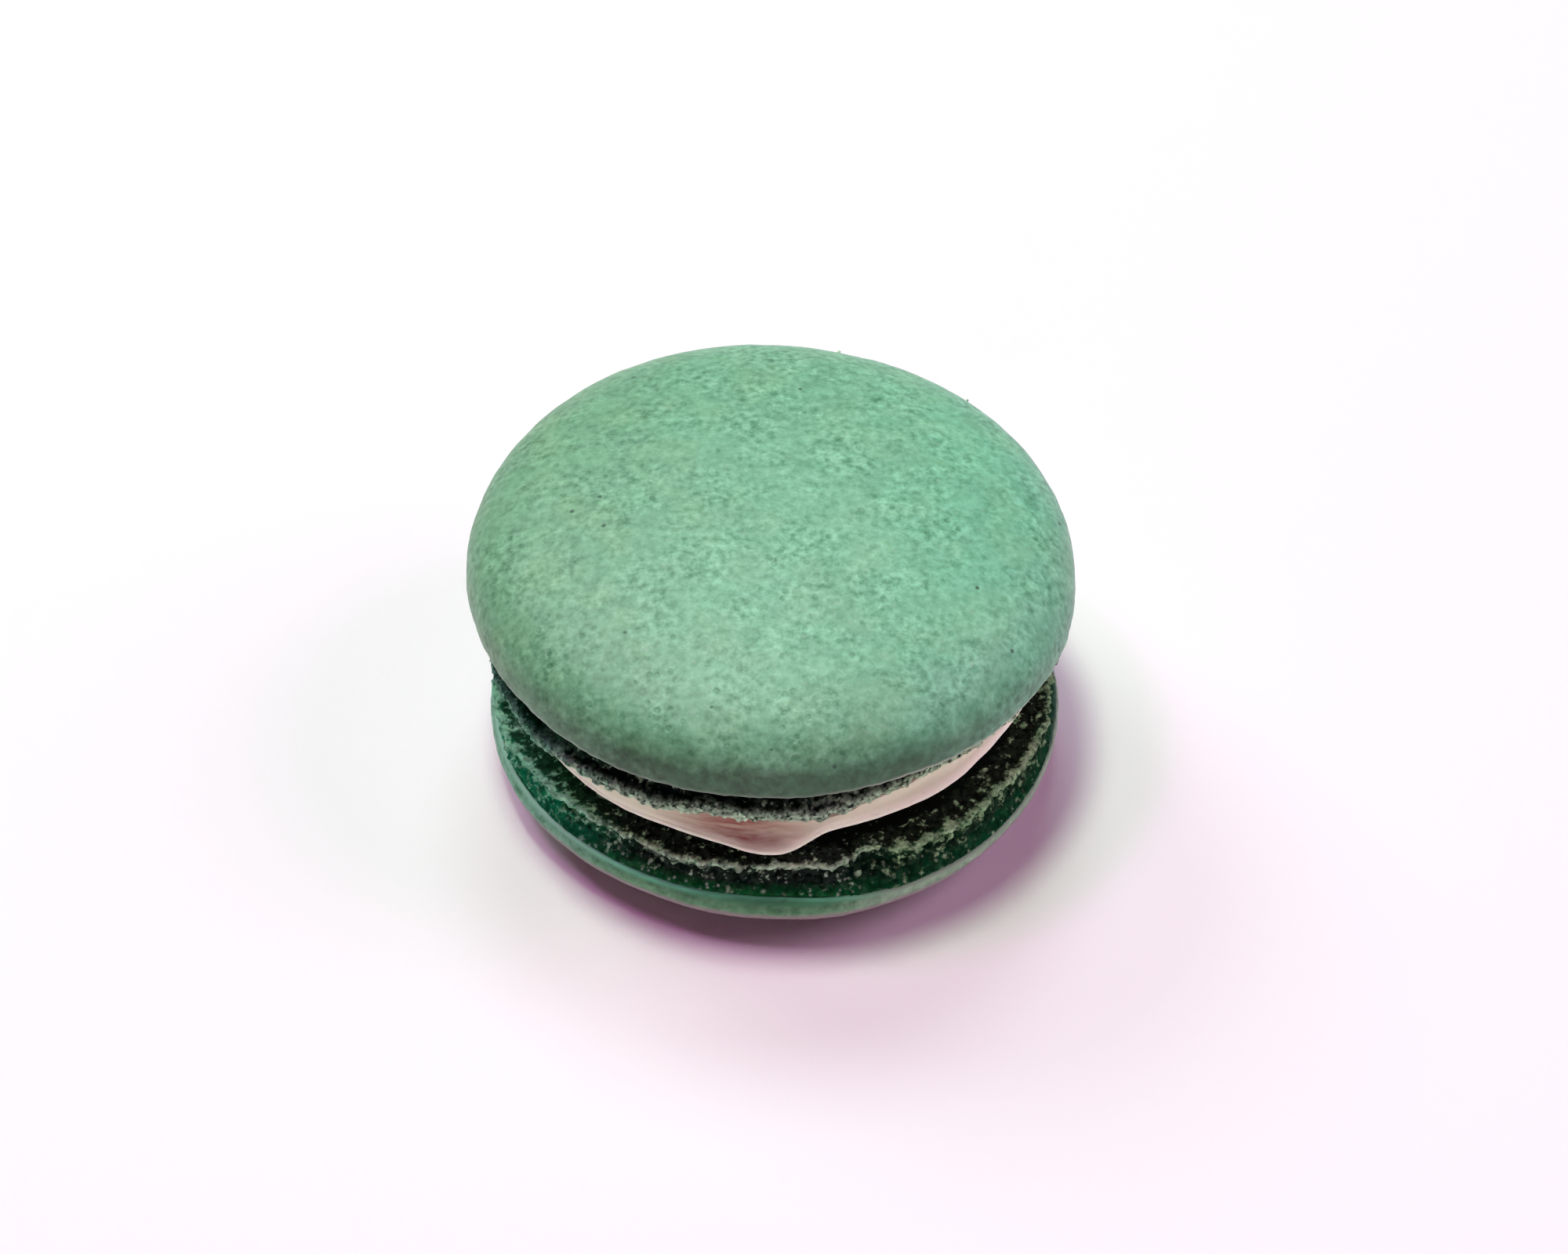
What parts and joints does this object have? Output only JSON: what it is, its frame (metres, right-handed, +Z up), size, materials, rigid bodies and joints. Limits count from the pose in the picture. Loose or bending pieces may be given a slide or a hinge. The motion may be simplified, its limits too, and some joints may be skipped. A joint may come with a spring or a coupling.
{
  "type": "french macaron",
  "caption": "Round almond sandwich biscuit: domed green shells with frilly feet, joined by a pale cream filling that sags out at the front.",
  "frame": {"origin": "on the table, under the middle of the macaron's bounding box", "axes": "+Z up through the crown of the top shell, -Y towards the front, where the filling sags lowest, +X to the right seen from the front"},
  "size_m": [0.045, 0.0454, 0.0252],
  "materials": {
    "almond_shell": "matte baked almond meringue, fine grained",
    "cream_filling": "smooth satin cream"
  },
  "bodies": {
    "root": {"shell_bottom": "almond_shell", "filling": "cream_filling", "shell_top": "almond_shell"}
  },
  "joints": []
}
